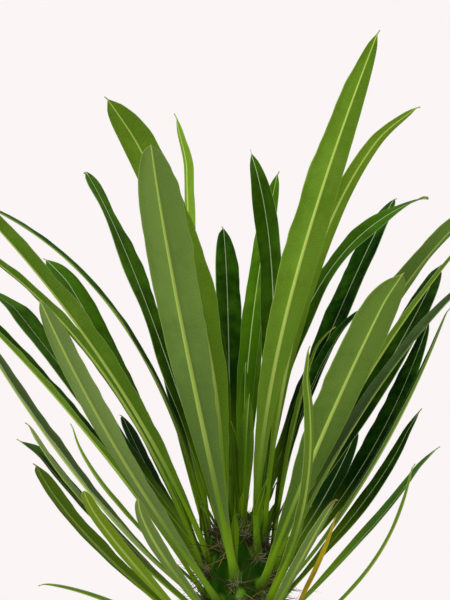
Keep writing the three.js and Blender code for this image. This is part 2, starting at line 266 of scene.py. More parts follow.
# adds a copy of a small mesh to a growing one, set by a matrix; looks are the numbers that all its
# points get in a layer, by their place in it
def stamp(bm, template, matrix, layer, looks):
    copy = template.copy()
    copy.transform(matrix)
    points = copy.attributes[layer].data
    numbers = [0.0] * (3 * len(points))
    points.foreach_get("vector", numbers)
    for axis, number in looks.items():
        numbers[axis::3] = [number] * len(points)
    points.foreach_set("vector", numbers)
    bm.from_mesh(copy)
    bpy.data.meshes.remove(copy)


# a matrix that stands a template's +Z along a direction at a place
def aimed(place, direction, width, length, spin=0.0):
    turned = direction.to_track_quat("Z", "Y").to_matrix().to_4x4()
    size = Matrix.Diagonal((width, width, length, 1))
    return Matrix.Translation(place) @ turned @ Matrix.Rotation(spin, 4, "Z") @ size


leafForm = {
    "petioleWidth": 4.6,
    "petioleShare": 0.34,  # of a narrow leaf's width, where that is less
    "petioleDepth": 2.3,
    "bladeDepth": 0.55,
    "marginDepth": 0.28,
    "packedBlade": 0.9,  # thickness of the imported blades, which the ribs below stand out from
    "cushionStand": 1.9,
    "fold": 10,  # degrees that each half stands up
    "foldSoftness": 0.6,
    "wander": 4,  # degrees that the blade turns unevenly
    "rollZone": (0.05, 0.5),
    "twistZone": (0.55, 1),
    "wanderZone": (0.1, 0.5),
    "foldZone": (0.02, 0.3),
    "widenZone": (0.03, 0.62),
    "widenPower": 0.75,
    "stalkZone": (0, 0.12),
    "rippleZone": (0.15, 0.4),
    "hookZone": (0.86, 1),
    "end": 0.5,  # where the blade begins to narrow in an arc
    "ripples": 3.5,
    "columns": 20,
    "ribColumns": 0.3,  # share of the columns on the midrib
    "marginColumns": 1.4,  # how much the others crowd towards the margin
    "rowStep": 2.7,  # millimetres from one row of points to the next
    "leastRows": 30,
    "footSink": 5,  # how far the stalk goes into its cushion
    "footFlare": 9,  # length over which it swells there, and by how much
    "footSwell": 0.3,
    "stalkTaper": 0.8,
    "stalkRound": 0.8,
    "tipRib": 0.3,  # half the midrib's width at the tip, and what it gains towards the foot
    "footRib": 1.5,
    "ribMost": 0.8,  # share of the width that the midrib takes at most
    "ribSlope": 1.25,  # how far its slopes reach, in half widths of it
    "marginPower": 5,  # how late the blade thins towards the margin
    "slowFlutter": (0.9, 24),  # how far the margins stray, and the length of the waves
    "quickFlutter": (0.35, 8),
    "broadHalf": 8,  # half the width from which a blade flutters fully
    "ragged": 0.07,  # how unevenly wide the blade is
    "quilt": 0.35,  # crown of each half
    "marginRoll": 0.5,
    "marginZone": (0.72, 1),
    "groove": 0.3,  # along the midrib above, and half its width
    "grooveHalf": 0.55,
    "thread": 4.5,  # the fine dry point that ends each blade
    "threadTaper": 0.6,
    "threadCurl": 1.4,
    "short": 1.2,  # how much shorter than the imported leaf, to leave room for the curl
    "usualLight": (-0.4, 0.3),  # the moods of a leaf that has none of its own
    "usualWarm": (0, 0.35),
    "dryZone": (0.7, 1),
}

leaves = []


# One leaf: its name, the degrees round the stem and the height of its foot, a point on the midrib at the
# middle and at the tip, and its width. A row may add roll and twist, in degrees about the midrib, the
# fold of each half, a hook at the tip, a wave of the margins, and end, the share of the length at which
# the blade begins to narrow.
def leaf(name, turn, rise, middle, tip, width, **more):
    leaves.append(dict(name=name, turn=turn, rise=rise, middle=middle, tip=tip, width=width, **more))


# tall inner leaves
leaf("01", 300, 371, (22, -34, 489), (70, -62, 642), 24, roll=-30)
leaf("02", 262, 359, (-30, -74, 495), (-43, -150, 583), 27, end=0.76)
leaf("03", 240, 377, (-23, -33, 507), (-68, -62, 610), 23, roll=28, hook=3, end=0.86)
leaf("04", 190, 383, (-24, 7, 499), (-28, 12, 602), 16, roll=62, hook=6, end=0.85)
leaf("05", 122, 374, (-53, 62, 502), (-89, 128, 573), 19, roll=14, wave=1, end=0.6)
leaf("06", 146, 366, (-35, 60, 450), (-47, 120, 480), 18, roll=20)
leaf("07", 116, 380, (-6, 59, 483), (-9, 101, 542), 19, roll=30, end=0.8)
leaf("08", 40, 379, (18, 28, 501), (5, 46, 584), 16, roll=-30, wave=1, end=0.8)
leaf("09", 85, 383, (6, 48, 480), (22, 82, 573), 15, roll=-14, end=0.78)
leaf("10", 97, 372, (8, 68, 470), (12, 98, 540), 12, roll=-8)
leaf("11", 330, 378, (40, -10, 525), (92, -34, 608), 16, roll=-36, hook=5)
leaf("12", 40, 371, (38, 50, 497), (107, 84, 558), 16, roll=10, wave=1, end=0.75)
leaf("13", 74, 373, (57, 66, 497), (90, 114, 558), 22, roll=-10, end=0.76)
# leaves on the right
leaf("14", 350, 368, (70, -19, 486), (126, -34, 555), 21, roll=-25, fold=22, end=0.7)
leaf("15", 308, 354, (46, -60, 446), (79, -115, 524), 24, roll=-20, hook=4, end=0.76)
leaf("16", 50, 360, (76, 70, 452), (117, 125, 520), 20, roll=10, end=0.76)
leaf("17", 335, 361, (63, -21, 458), (120, -45, 540), 17)
leaf("18", 12, 356, (70, 6, 450), (127, 8, 517), 13, roll=22, fold=30, end=0.7)
leaf("19", 40, 349, (69, 52, 411), (108, 92, 490), 20, roll=4)
leaf("20", 355, 346, (71, -4, 416), (110, -8, 500), 11, roll=5, fold=25)
leaf("21", 15, 340, (71, 16, 399), (96, 28, 445), 13, roll=25, hook=3, end=0.4)
leaf("22", 350, 331, (72, -8, 385), (102, -12, 428), 12, roll=28, fold=25, hook=3)
leaf("23", 338, 319, (68, -20, 363), (89, -36, 420), 9)
leaf("24", 316, 343, (33, -74, 413), (28, -124, 486), 12, roll=50, hook=4)
leaf("25", 60, 343, (44, 68, 384), (69, 120, 426), 18)
leaf("26", 18, 369, (31, 4, 446), (47, 6, 491), 9, roll=-24, hook=4)
leaf("46", 30, 362, (35, 19, 446), (69, 30, 501), 16, roll=8, fold=25, hook=2)
# leaves on the left
leaf("27", 172, 374, (-65, 5, 494), (-150, 12, 558), 17, fold=8, end=0.7)
leaf("28", 208, 366, (-72, -46, 475), (-145, -95, 567), 22, fold=25, end=0.7)
leaf("29", 190, 360, (-75, -19, 470), (-148, -40, 538), 18, roll=12, end=0.7)
leaf("30", 152, 356, (-68, 41, 464), (-108, 72, 528), 20, twist=-20, hook=5, end=0.85)
leaf("31", 133, 357, (-86, 58, 447), (-142, 104, 512), 22, hook=6, end=0.8)
leaf("32", 234, 345, (-61, -62, 426), (-98, -128, 509), 20, twist=25)
leaf("33", 196, 348, (-82, -21, 436), (-150, -42, 511), 19, roll=-13, fold=28, end=0.75)
leaf("34", 178, 343, (-83, -2, 405), (-149, -4, 504), 16, roll=-12, fold=28, end=0.75)
leaf("35", 208, 335, (-79, -37, 397), (-108, -66, 444), 13, roll=-4, end=0.75)
leaf("36", 168, 334, (-80, 12, 387), (-116, 22, 431), 14, roll=-20, fold=30, hook=6, end=0.92)
leaf("37", 212, 323, (-74, -40, 377), (-104, -72, 424), 17, roll=8, end=0.9)
leaf("38", 128, 344, (-46, 57, 398), (-67, 100, 435), 16, roll=27, end=0.88)
leaf("39", 160, 346, (-72, 16, 400), (-90, 28, 435), 8, roll=40)
leaf("40", 190, 313, (-64, -17, 342), (-106, -30, 356), 13, roll=10, fold=8, end=0.9)
# small front leaves
leaf("41", 244, 328, (-41, -68, 378), (-50, -120, 411), 11, roll=5, end=0.5)
leaf("42", 228, 318, (-62, -63, 380), (-77, -112, 414), 10, roll=15, end=0.76)
leaf("43", 298, 324, (33, -70, 379), (46, -124, 411), 12, roll=22)
leaf("44", 318, 316, (40, -28, 364), (50, -26, 394), 9, roll=32)
# leaves on the far side
leaf("45", 95, 360, (-12, 88, 440), (-22, 172, 468), 19)
leaf("47", 104, 340, (-10, 84, 396), (-14, 150, 398), 17)
leaf("48", 80, 332, (12, 78, 374), (8, 140, 366), 16)
leaf("49", 118, 322, (-18, 70, 358), (-24, 116, 352), 14)
leaf("50", 58, 322, (16, 66, 358), (22, 118, 352), 14)
# young leaves at the top of the stem
leaf("51", 225, 384, (-10, -12, 424), (-14, -20, 464), 10, roll=30)
leaf("52", 280, 383, (3, -15, 422), (5, -24, 456), 10, roll=-15)
leaf("53", 150, 384, (-9, 8, 440), (-11, 14, 492), 11, roll=-20)
leaf("54", 25, 384, (12, 6, 432), (17, 10, 474), 10, roll=20)
leaf("55", 265, 387, (-2, -5, 412), (-4, -8, 440), 8)
leaf("56", 70, 387, (2, 6, 430), (3, 10, 470), 9)

# colours that stray from a leaf's usual ones: light -1 to 1, partly the leaf's own tone and partly painted
# light and shade for its place in the crown, painting deep shade below -1;
# warm, where 1 is yellower and -1 grey with bloom below, that grey partly a painted sheen of reflected sky;
# then, for a few, dry 0 to 1 at the tip and how much lighter the tip is than the middle, painted light and
# shade along the leaf
leafMoods = {
    "01": (0.8, 0.1, 0, -1.6), "02": (0.2, -0.35, 0, 1.4), "03": (-0.5, 0.3), "04": (0.5, 0.3),
    "05": (0, 0.3), "06": (-1.6, 0), "07": (-0.3, 0.1), "08": (0.1, 0.3), "09": (-0.6, 0.2),
    "10": (-0.2, 0.3), "11": (0.3, 0.4), "12": (0.4, 0.2), "13": (-0.35, 0), "14": (1, -0.3),
    "15": (0.1, -0.2, 0, 1.2), "16": (-0.5, 0.1), "17": (0.3, 0.3), "18": (-0.6, -0.7), "19": (-0.45, 0),
    "20": (-0.1, -0.3), "21": (-0.4, 0.1), "22": (0.4, -0.3), "23": (1.4, 0.3), "24": (0.8, 0.2),
    "25": (-1.5, 0), "26": (0.4, 0.5), "28": (-0.4, 0.1, 0, -0.5), "30": (0.5, 0.3), "31": (0.1, 0.2),
    "32": (0.9, -0.6), "34": (0.4, -1.8), "35": (0.3, -0.8), "36": (-0.6, -0.4), "37": (-1.8, 0.4, 0.2),
    "38": (-1.5, 0), "39": (0.8, 0.4), "40": (0.6, 0.1), "41": (0.9, -0.5), "42": (1.8, 0.8, 0.1),
    "43": (1, -0.5, 0.6), "44": (0.2, 0.3, 0.5), "46": (-0.6, 0), "51": (-0.7, 0), "52": (-0.7, 0),
    "53": (-0.7, 0), "54": (-0.7, 0), "55": (-0.5, 0.2), "56": (-0.7, 0),
}
youngLeaves = ("01", "04", "09", "10", "11", "26", "51", "52", "53", "54", "55", "56")
witheredLeaves = ("44",)

stemForm = {
    # height and radius, from the foot to the shoulder
    "profile": ((94, 26), (134, 30), (160, 31), (200, 29.5), (250, 25.5), (300, 20.5), (326, 18.3),
                (352, 17.5)),
    "shoulder": 352,
    "top": 388,
    "sides": 150,
    "rowStep": 1.35,
    "tubercleArea": 540,
    "tubercleBottom": 148,
    "tubercleTop": 308,
    "firstTurn": 20,
    "goldenAngle": 137.508,
    "tubercleStand": 2.2,
    "tubercleReach": (5.6, 6.4, 6.4),  # across, up and down
    "leafStand": 3.4,  # the cushion that each leaf stands on
    "leafReach": (4.2, 4.0, 10.0),
    "belowLeaf": 6,  # from a leaf's foot down to its spines
    "scarArea": 170,
    "scarTop": 356,
    "scarClear": 7.5,  # how far a dropped leaf's cushion keeps from the others
    "scarStand": 2.72,
    "scarReach": (4.2, 3.5, 6.5),
    "domeRows": 30,
    "overlap": 0.2,  # what a second swelling adds where two meet
    "wrinkle": 0.35,
    "fineWrinkle": 0.22,
    "ring": 0.25,
    "ringZone": (150, 260),  # the old rings fade out between these heights
    "greenZone": (285, 345),  # the bark turns from grey to green
}


def stemRadius(height):
    profile = stemForm["profile"]
    if height >= stemForm["shoulder"]:
        climb = min((height - stemForm["shoulder"]) / (stemForm["top"] - stemForm["shoulder"]), 1)
        return profile[-1][1] * math.sqrt(1 - climb * climb)
    above = next(i for i, (level, _) in enumerate(profile) if level > height)
    (lowLevel, lowRadius), (highLevel, highRadius) = profile[above - 1], profile[above]
    return blend(lowRadius, highRadius, (height - lowLevel) / (highLevel - lowLevel))


# the direction straight out of the bark
def stemOutward(turn, height):
    radius = stemForm["profile"][-1][1]
    climb = max(height - stemForm["shoulder"], 0) / (stemForm["top"] - stemForm["shoulder"]) ** 2
    return around(turn, stemRadius(height) / radius**2, climb).normalized()


def onBark(turn, rise):
    return around(turn, stemRadius(rise), rise)


# a leaf's midrib as a curve through its foot, middle and tip, read by the share of its length
class Midrib:
    steps = 200

    def __init__(self, row):
        outward = stemOutward(row["turn"], row["rise"])
        self.foot = onBark(row["turn"], row["rise"]) + outward * leafForm["cushionStand"]
        self.tip = Vector(row["tip"])
        self.pull = 2 * Vector(row["middle"]) - 0.5 * self.foot - 0.5 * self.tip
        points = [self.at(i / self.steps) for i in range(self.steps + 1)]
        self.runs = [0.0]
        for here, there in zip(points, points[1:]):
            self.runs.append(self.runs[-1] + (there - here).length)
        self.length = self.runs[-1]

    def at(self, t):
        return (1 - t) ** 2 * self.foot + 2 * t * (1 - t) * self.pull + t * t * self.tip

    def when(self, along):
        target = along * self.length
        i = 0
        while i < self.steps - 1 and self.runs[i + 1] < target:
            i += 1
        return (i + (target - self.runs[i]) / (self.runs[i + 1] - self.runs[i])) / self.steps

    def pointAndForward(self, along):
        t = self.when(along)
        forward = (1 - t) * (self.pull - self.foot) + t * (self.tip - self.pull)
        return self.at(t), forward.normalized()


# one station of a leaf: its place, its three directions and its measures
def leafStation(row, midrib, share, seed):
    form = leafForm
    along = share * (1 - form["short"] / midrib.length)
    left = (1 - share) * midrib.length
    run = share * midrib.length
    point, forward = midrib.pointAndForward(along)
    heading = (midrib.tip - midrib.foot) * Vector((1, 1, 0))
    level = up.cross(heading.normalized())
    turned = row.get("roll", 0) * smooth(form["rollZone"], along)
    turned += row.get("twist", 0) * smooth(form["twistZone"], along)
    turned += form["wander"] * smooth(form["wanderZone"], along) * noise.noise(Vector((along * 4, seed, 3)))
    side = (level - forward * level.dot(forward)).normalized()
    side.rotate(Matrix.Rotation(math.radians(turned), 3, forward))
    facing = forward.cross(side)
    thread = max(1 - left / form["thread"], 0)
    point = point - facing * row.get("hook", 0) * smooth(form["hookZone"], along)
    point -= facing * form["threadCurl"] * thread**2

    end = row.get("end", form["end"])
    toThread = min(run / (midrib.length - form["thread"]), 1)
    taper = math.sqrt(1 - (max(toThread - end, 0) / (1 - end)) ** 2)
    petiole = min(form["petioleWidth"], row["width"] * form["petioleShare"])
    slim = petiole / form["petioleWidth"]
    flare = 1 + form["footSwell"] * (1 - smooth((0, form["footFlare"]), run))
    width = petiole * (1 - form["stalkTaper"] * along) * flare * (1 - form["threadTaper"] * thread)
    width += (row["width"] - petiole) * smooth(form["widenZone"], along) ** form["widenPower"] * taper
    return {
        "point": point, "forward": forward, "side": side, "facing": facing, "half": width / 2,
        "fold": math.radians(row.get("fold", form["fold"])) * smooth(form["foldZone"], along),
        "rib": (form["petioleDepth"] - form["packedBlade"]) * (1 - along) ** 0.7 * slim,
        "ribHalf": (form["tipRib"] + form["footRib"] * (1 - along) ** 0.9) * slim,
        "depth": form["petioleDepth"] * slim * flare,
        "ripple": row.get("wave", 0) * smooth(form["rippleZone"], along)
        * math.sin(2 * math.pi * form["ripples"] * along + row["turn"]),
        "stalk": 1 - smooth(form["stalkZone"], along),
        "run": run,
    }


# how far out a column of the sheet lies, as a share of half the width
def columnReach(column, station):
    form = leafForm
    rib = min(station["ribHalf"] / station["half"], form["ribMost"])
    out = abs(column)
    if out <= form["ribColumns"]:
        share = rib * out / form["ribColumns"]
    else:
        beyond = (out - form["ribColumns"]) / (1 - form["ribColumns"])
        share = blend(rib, 1, 1 - (1 - beyond) ** form["marginColumns"])
    return math.copysign(share, column)


def leafPoint(station, column, under, seed):
    form = leafForm
    share = columnReach(column, station)
    flat = 1 - station["stalk"]
    broad = flat * min(station["half"] / form["broadHalf"], 1)
    margin = abs(share) ** 2
    hand = math.copysign(2, share)
    slowStray, slowWave = form["slowFlutter"]
    quickStray, quickWave = form["quickFlutter"]
    slow = noise.noise(Vector((station["run"] / slowWave, hand, seed)))
    quick = noise.noise(Vector((station["run"] / quickWave, hand, seed + 5)))
    reach = share * station["half"] * (1 + form["ragged"] * (slow + 0.6 * quick) * margin * broad)
    out = abs(reach)
    softFold = math.hypot(out, form["foldSoftness"]) - form["foldSoftness"]
    lift = softFold * math.sin(station["fold"]) + station["ripple"] * margin * math.copysign(1, share)
    lift += (slowStray * slow + quickStray * quick) * margin * broad
    lift += form["quilt"] * math.sin(math.pi * abs(share)) * broad
    lift -= form["marginRoll"] * smooth(form["marginZone"], abs(share)) * broad
    if not under:
        lift -= form["groove"] * math.exp(-((out / form["grooveHalf"]) ** 2)) * min(station["half"] / 2, 1)
    place = station["point"] + station["side"] * reach * math.cos(station["fold"]) + station["facing"] * lift
    if under:
        blade = blend(form["bladeDepth"], form["marginDepth"], abs(share) ** form["marginPower"])
        bell = 0.5 + 0.5 * math.cos(math.pi * min(out / (station["ribHalf"] * form["ribSlope"]), 1))
        stalk = station["depth"] * math.sqrt(1 - form["stalkRound"] * share * share)
        depth = blend(blade + station["rib"] * bell, stalk, station["stalk"])
        place -= station["facing"] * depth
    return place, reach, abs(share)


def makeLeaf(row, finish, slot, piece, node):
    seed = int(row["name"]) * 7.3
    midrib = Midrib(row)
    rows = max(round(midrib.length / leafForm["rowStep"]), leafForm["leastRows"])
    stations = [leafStation(row, midrib, i / rows, seed) for i in range(rows + 1)]
    stations[0]["point"] = stations[0]["point"] - stations[0]["forward"] * leafForm["footSink"]
    rule = random.Random(row["name"])
    usual = (rule.uniform(*leafForm["usualLight"]), rule.uniform(*leafForm["usualWarm"]))
    light, warm, dry, drift = (*leafMoods.get(row["name"], usual), 0, 0)[:4]

    bm = bmesh.new()
    bmesh.ops.create_grid(bm, x_segments=leafForm["columns"], y_segments=rows, size=1)
    bmesh.ops.solidify(bm, geom=bm.faces[:], thickness=1)
    spot = bm.verts.layers.float_vector.new("leafSpot")  # millimetres out and up the leaf, and which face
    form = bm.verts.layers.float_vector.new("leafForm")  # shares out and up the leaf, and half the midrib
    mood = bm.verts.layers.float_vector.new("leafMood")
    for vert in bm.verts:
        i = round((vert.co.y + 1) / 2 * rows)
        under = vert.co.z < -0.5
        place, reach, share = leafPoint(stations[i], vert.co.x, under, seed)
        vert[spot] = (reach, stations[i]["run"], -1 if under else 1)
        vert[form] = (share, i / rows, stations[i]["ribHalf"])
        withered = dry * smooth(leafForm["dryZone"], i / rows)
        # the light mood, partly painted light and shade, shifted along the leaf by its drift
        vert[mood] = (light + drift * (2 * i / rows - 1), warm, withered)
        vert.co = place
    addPiece(piece, bm, finish, slot, [node])


# leaf colours: above and below, each in shade and at its lightest, the midrib and the flush of age; bloom is
# a grey that is partly the leaf's own and partly a painted sheen of reflected sky
leafColours = {
    "leaf": {
        "above": ((0.0025, 0.026, 0.0005), (0.034, 0.115, 0.0042)),
        "below": ((0.055, 0.130, 0.007), (0.098, 0.195, 0.017)),
        "ribAbove": (0.50, 0.61, 0.34),
        "ribBelow": (0.34, 0.46, 0.085),
        "warm": (0.20, 0.31, 0.004),
        "bloom": (0.170, 0.235, 0.090),
        "stalk": (0.18, 0.33, 0.006),
    },
    "young_leaf": {
        "above": ((0.030, 0.105, 0.0015), (0.090, 0.200, 0.0060)),
        "below": ((0.085, 0.195, 0.008), (0.135, 0.265, 0.020)),
        "ribAbove": (0.36, 0.50, 0.16),
        "ribBelow": (0.42, 0.56, 0.11),
        "warm": (0.26, 0.40, 0.006),
        "bloom": (0.190, 0.280, 0.090),
        "stalk": (0.16, 0.32, 0.008),
    },
    "ageing_leaf": {
        "above": ((0.200, 0.180, 0.006), (0.360, 0.300, 0.012)),
        "below": ((0.260, 0.230, 0.008), (0.420, 0.340, 0.014)),
        "ribAbove": (0.42, 0.32, 0.06),
        "ribBelow": (0.50, 0.34, 0.05),
        "warm": (0.42, 0.24, 0.010),
        "bloom": (0.300, 0.250, 0.090),
        "stalk": (0.26, 0.16, 0.010),
    },
}
stalkShade = (0.014, 0.050, 0.002)
deepShade = (0.006, 0.022, 0.0004)
dryTip = (0.20, 0.115, 0.035)


def leafFinish(name):
    tones = leafColours[name]
    f = Finish(name + " skin")
    spot, reach, run, face = f.marks("leafSpot")
    _, share, along, ribHalf = f.marks("leafForm")
    _, light, warm, dry = f.marks("leafMood")
    above = f.step(face, -0.2, 0.2)
    out = reach.size()
    onRib = 1 - f.step(out, ribHalf * 0.72, ribHalf * 1.08)

    # side veins leave the midrib steeply, lean forward and join just inside the margin
    wander = f.cloud(spot, 0.16, 3)
    climb = run - out * 0.5 + wander * 5
    veins = 1 - f.step(climb.pingPong(0.85), 0.0, 0.42)
    veins = veins * f.step(share, 0.05, 0.25) * (1 - f.step(share, 0.9, 0.96))
    net = 1 - f.step(f.cells(spot, 0.85, "DISTANCE_TO_EDGE"), 0.0, 0.22)
    # painted highlight: a pale line along the margin, where light catches the edge of the blade
    edge = f.step(share, 0.955, 0.985)

    broad = f.cloud(spot, 0.03, 2)
    middle = f.cloud(spot, 0.16, 3)
    fine = f.cloud(spot, 1.1, 4)
    # painted shade: the blade grows darker towards its foot, deep in the crown where its neighbours shade it;
    # with the leaf's light mood this moves the mix between the dark and light tones
    paintedFootShade = 1 - f.step(along, 0.35, 0.65)
    shade = f.step(broad * 0.5 + middle * 0.4 + fine * 0.1 + light * 0.2 - paintedFootShade * 0.15, 0.28, 0.68)

    upperRib = 1 - f.step(out, ribHalf * 0.16 + 0.06, ribHalf * 0.26 + 0.18)
    # bloom on either face: a grey that is partly the leaf's own and partly a painted sheen of reflected sky
    upper = f.coats(f.mix(*tones["above"], shade),
                    (tones["warm"], warm.larger(0) * 0.25 + veins * shade * 0.035),
                    (tones["bloom"], (warm * -1).larger(0) * 0.4),
                    (tones["ribAbove"], upperRib * 0.85),
                    (tones["ribAbove"], edge * 0.4))
    lower = f.coats(f.mix(*tones["below"], shade),
                    (tones["warm"], warm.larger(0) * 0.5),
                    (tones["bloom"], (warm * -1).larger(0) * 0.8),
                    (tones["ribBelow"], veins * 0.07 + net * 0.05 + edge * 0.3),
                    (tones["ribBelow"], onRib * f.step(run, 25, 90)))

    # the stalk is paler, and shaded where it leaves its cushion
    foot = 1 - f.step(run, 15, 45)
    stalk = (1 - f.step(run, 25, 85)) * f.step(face + onRib + foot, -0.6, 0.2)
    tipBrown = f.step(along, 0.99, 1.0) + f.step(dry * (0.6 + fine * 0.8), 0.35, 0.6)
    colour = f.coats(f.mix(lower, upper, above),
                     (deepShade, (light * -1 - 1).larger(0) * 0.65),
                     (tones["stalk"], stalk * 0.75),
                     (stalkShade, (1 - f.step(run, 1, 10)) * 0.5),
                     (dryTip, tipBrown.smaller(1) * 0.8))

    roughness = 0.62 - above * 0.1 + middle * 0.08
    relief = veins * 0.6 + net * 0.15
    return f.done(f.shader(colour, roughness, f.bump(relief, 0.00004, 0.7), gloss=0.012))


for slot in leafColours:
    leafColours[slot]["finish"] = leafFinish(slot)
for row in leaves:
    slot = "young_leaf" if row["name"] in youngLeaves else "leaf"
    slot = "ageing_leaf" if row["name"] in witheredLeaves else slot
    name = "leaf_" + row["name"]
    makeLeaf(row, leafColours[slot]["finish"], slot, name + "_blade", name)
print("leaves:", len(leaves))

budForm = {
    "count": 22,
    "rises": (360, 384),
    "lengths": (16, 40),
    "leans": (0.15, 0.75),
    "width": 5.5,
    "widths": (0.7, 1.2),  # shares of it
    "bow": 0.07,  # how far the middle stands out, as a share of the length
    "roll": 30,
    # painted shade: a light mood below -1 darkens the buds deep in the crown
    "mood": (-1.2, 0),
    "seed": 3,
}


# short young leaves that crowd the growing tip of the stem, between the feet of the long ones
def budRows():
    form = budForm
    rule = random.Random(form["seed"])
    rows = []
    for i in range(form["count"]):
        turn = i * stemForm["goldenAngle"]
        rise = blend(*form["rises"], math.sqrt(rule.random()))
        length = rule.uniform(*form["lengths"])
        foot = onBark(turn, rise)
        climb = around(turn, blend(*form["leans"], rule.random()), 1).normalized()
        middle = foot + climb * length * 0.5 + around(turn, 1, 0) * length * form["bow"]
        rows.append({"name": str(60 + i), "turn": turn, "rise": rise, "middle": middle,
                     "tip": foot + climb * length, "width": form["width"] * rule.uniform(*form["widths"]),
                     "roll": rule.uniform(-form["roll"], form["roll"])})
    return rows


for row in budRows():
    leafMoods[row["name"]] = budForm["mood"]
    makeLeaf(row, leafColours["leaf"]["finish"], "leaf", "bud_" + row["name"], "stem")
print("buds:", budForm["count"])


def addSwell(swells, turn, rise, leafy, kind):
    swells.append({"turn": turn, "rise": rise, "leafy": leafy, "place": onBark(turn, rise),
                   "stand": stemForm[kind + "Stand"], "reach": stemForm[kind + "Reach"]})


# turns and heights up a golden spiral, with about the same area of bark to each
def spiral(rise, top, area):
    turn = stemForm["firstTurn"]
    while rise < top:
        yield turn, rise
        turn += stemForm["goldenAngle"]
        rise += area / (2 * math.pi * stemRadius(rise))


# places where the bark swells: a tubercle under each group of old spines, a cushion under each leaf
# and, between the leaves, under each that has dropped
def barkSwells():
    form = stemForm
    swells = []
    for turn, rise in spiral(form["tubercleBottom"], form["tubercleTop"], form["tubercleArea"]):
        addSwell(swells, turn, rise, False, "tubercle")
    for row in leaves:
        addSwell(swells, row["turn"], row["rise"], True, "leaf")
    for turn, rise in spiral(form["tubercleTop"], form["scarTop"], form["scarArea"]):
        if min((onBark(turn, rise) - swell["place"]).length for swell in swells) > form["scarClear"]:
            addSwell(swells, turn, rise, True, "scar")
    return swells


# how far one swelling lifts the bark at a place
def swellAt(swell, place):
    across, above, below = swell["reach"]
    apart = place - swell["place"]
    aside = (apart * Vector((1, 1, 0))).length
    far = (aside / across) ** 2 + (apart.z / (above if apart.z > 0 else below)) ** 2
    return swell["stand"] * (1 - far) ** 1.3 if far < 1 else 0.0


def makeStem(finish):
    form = stemForm
    swells = barkSwells()
    tree = treeOf([swell["place"] for swell in swells])
    levels = []
    height = form["profile"][0][0]
    while height < form["shoulder"]:
        levels.append(height)
        height += form["rowStep"]
    for i in range(form["domeRows"]):
        climb = math.sin(i / form["domeRows"] * math.pi / 2)
        levels.append(form["shoulder"] + (form["top"] - form["shoulder"]) * climb)
    outline = [(0, levels[0])] + [(stemRadius(level), level) for level in levels] + [(0, form["top"])]

    bm = lathe(outline, form["sides"])
    look = bm.verts.layers.float_vector.new("barkLook")  # swelling, how green, and how low
    widest = max(form["leafReach"]) + 1
    for vert in bm.verts:
        if vert.co.z < levels[0] + 0.01:
            continue
        outward = stemOutward(math.degrees(math.atan2(vert.co.y, vert.co.x)), vert.co.z)
        lifts = [swellAt(swells[i], vert.co) for _, i, _ in tree.find_range(vert.co, widest)]
        most = max(lifts, default=0)
        swelling = most + form["overlap"] * (sum(lifts) - most)
        wrinkle = form["wrinkle"] * noise.fractal(vert.co * 0.11, 1.0, 2.0, 3)
        wrinkle += form["fineWrinkle"] * noise.noise(
            Vector((vert.co.x * 0.3, vert.co.y * 0.3, vert.co.z * 0.9)))
        low = 1 - smooth(form["ringZone"], vert.co.z)
        ring = form["ring"] * low * math.sin(vert.co.z * 0.9 + 3 * noise.noise(vert.co * 0.03))
        vert[look] = (swelling / form["leafStand"], smooth(form["greenZone"], vert.co.z), low)
        vert.co += outward * (swelling + wrinkle + ring)
    addPiece("stem_bark", bm, finish, "bark", ["stem"])
    return swells


barkColours = {
    "grey": ((0.115, 0.105, 0.070), (0.27, 0.255, 0.185)),
    "moss": (0.10, 0.125, 0.055),
    "fleck": (0.40, 0.38, 0.31),
    "furrow": (0.06, 0.045, 0.028),
    # green bark, in painted shade between the swellings and lit on them
    "green": ((0.018, 0.075, 0.0015), (0.130, 0.330, 0.010)),
    "cork": (0.22, 0.19, 0.13),
    "damp": (0.035, 0.026, 0.018),
}


def barkFinish():
    tones = barkColours
    f = Finish("stem bark")
    _, swelling, green, low = f.marks("barkLook")
    place = f.place()
    broad = f.cloud(place, 38, 4)
    fine = f.cloud(place, 420, 4, 0.65)
    scales = f.cells(f.stretched(place, (1, 1, 0.45)), 520)
    flecks = f.step(f.cells(f.stretched(place, (1, 1, 2.6)), 230), 0.28, 0.12)
    furrows = f.cloud(f.stretched(place, (1, 1, 0.16)), 260, 3)

    # painted light and shade: the green bark is lighter on the swellings and darker in the hollows between
    # them, where shade falls
    swellLightHollowShade = f.step(swelling + (fine - 0.5) * 0.6, 0.05, 0.8)
    fresh = f.mix(*tones["green"], swellLightHollowShade)
    colour = f.coats(f.mix(*tones["grey"], f.step(broad, 0.32, 0.68)),
                     (tones["moss"], f.step(fine * 0.6 + broad * 0.5, 0.5, 0.72) * 0.55),
                     (tones["fleck"], flecks * 0.35),
                     (tones["furrow"], f.step(furrows, 0.56, 0.72) * 0.55),
                     (fresh, f.step(green + (broad - 0.5) * 0.7, 0.25, 0.75)),
                     (tones["cork"], f.step(swelling, 0.55, 0.95) * (1 - green) * 0.6),
                     (tones["damp"], f.step(low, 0.75, 1) * 0.35))

    height = fine * 0.5 + scales * 0.25 + furrows * 0.5
    return f.done(f.shader(colour, 0.62 + fine * 0.2 - green * 0.15, f.bump(height, 0.0007, 0.8), gloss=0.04))


swells = makeStem(barkFinish())
print("stem: bark with", len(swells), "swellings")


spineForm = {
    "length": 17,
    "radius": 0.62,
    "girths": (0.8, 1.1),  # shares of the radius
    "sink": 1.2,
    "spread": 1.6,
    "looseness": 0.3,
    "fan": ((-0.85, 0.3), (0.85, 0.3), (0.1, -0.55)),
    "curl": 3.5,  # how far a tip bends aside, in radii
    "sides": 6,
    "rings": 5,
    "youthZone": (300, 370),  # heights between which they turn paler
    "seed": 7,
    "lookSeed": 11,
}
# thinner spines among the leaves
fineSpines = {
    "count": 9,  # at each cushion
    "radius": 0.36,
    "girths": (0.7, 1.2),
    "length": (9, 24),
    "curls": (8, 18, 30),
    "golden": 0.3,  # share of them that are young and pale
    "below": (1, 11),  # from the leaf's foot down
    "aside": 18,  # degrees round the stem
    "fan": 60,
    "rising": (-0.5, 1.1),
    "sides": 5,
    "rings": 6,
}


